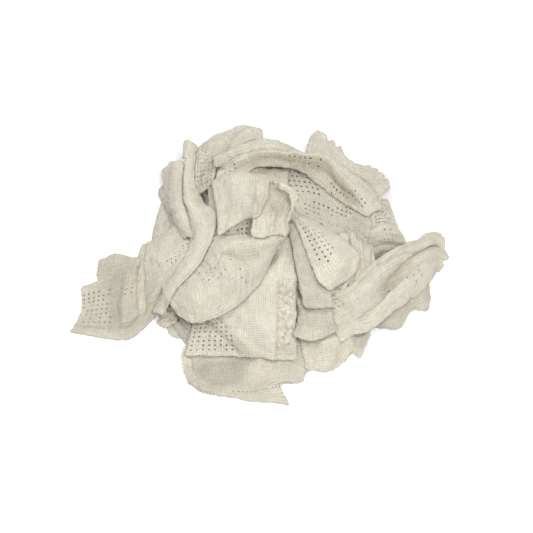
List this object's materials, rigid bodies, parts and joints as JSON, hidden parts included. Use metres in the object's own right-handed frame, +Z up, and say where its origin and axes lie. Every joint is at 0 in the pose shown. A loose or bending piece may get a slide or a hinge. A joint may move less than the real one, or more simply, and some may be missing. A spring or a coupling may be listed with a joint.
{
  "type": "heap of wrung cotton rags",
  "caption": "Low heap of wrung, cut cotton cleaning rags in white cellular weave, folded over one another with raw edges.",
  "frame": {"origin": "centre of the underside of the bounding box, on the surface that the heap rests on", "axes": "+X to the right along the heap's longest side, +Y to the back, +Z up"},
  "size_m": [0.3764, 0.3346, 0.0924],
  "materials": {
    "cotton_cream": "matte cream-white cellular cotton",
    "cotton_grey": "matte greyish white cellular cotton",
    "cotton_bright": "matte white cellular cotton"
  },
  "bodies": {
    "root": {"floor_rag": "cotton_grey", "floor_layer": "cotton_grey", "bed_rag": "cotton_grey", "front_flap": "cotton_cream", "right_under": "cotton_grey", "lower_right": "cotton_cream", "star_sheet": "cotton_cream", "left_back": "cotton_grey", "left_tab": "cotton_cream", "left_rag": "cotton_cream", "right_panel": "cotton_cream", "hollow": "cotton_grey", "gather": "cotton_cream", "right_arm": "cotton_bright", "tuft": "cotton_cream", "core_sheet": "cotton_grey", "inner_panel": "cotton_grey", "back_loop": "cotton_cream", "back_band": "cotton_cream", "ridge_band": "cotton_bright", "front_panel": "cotton_bright", "tab": "cotton_cream", "grey_strip": "cotton_grey", "corner_flap": "cotton_bright", "bowl_panel": "cotton_cream", "left_strip": "cotton_bright", "left_fold": "cotton_cream", "top_curl": "cotton_bright", "top_flap": "cotton_cream"}
  },
  "joints": []
}
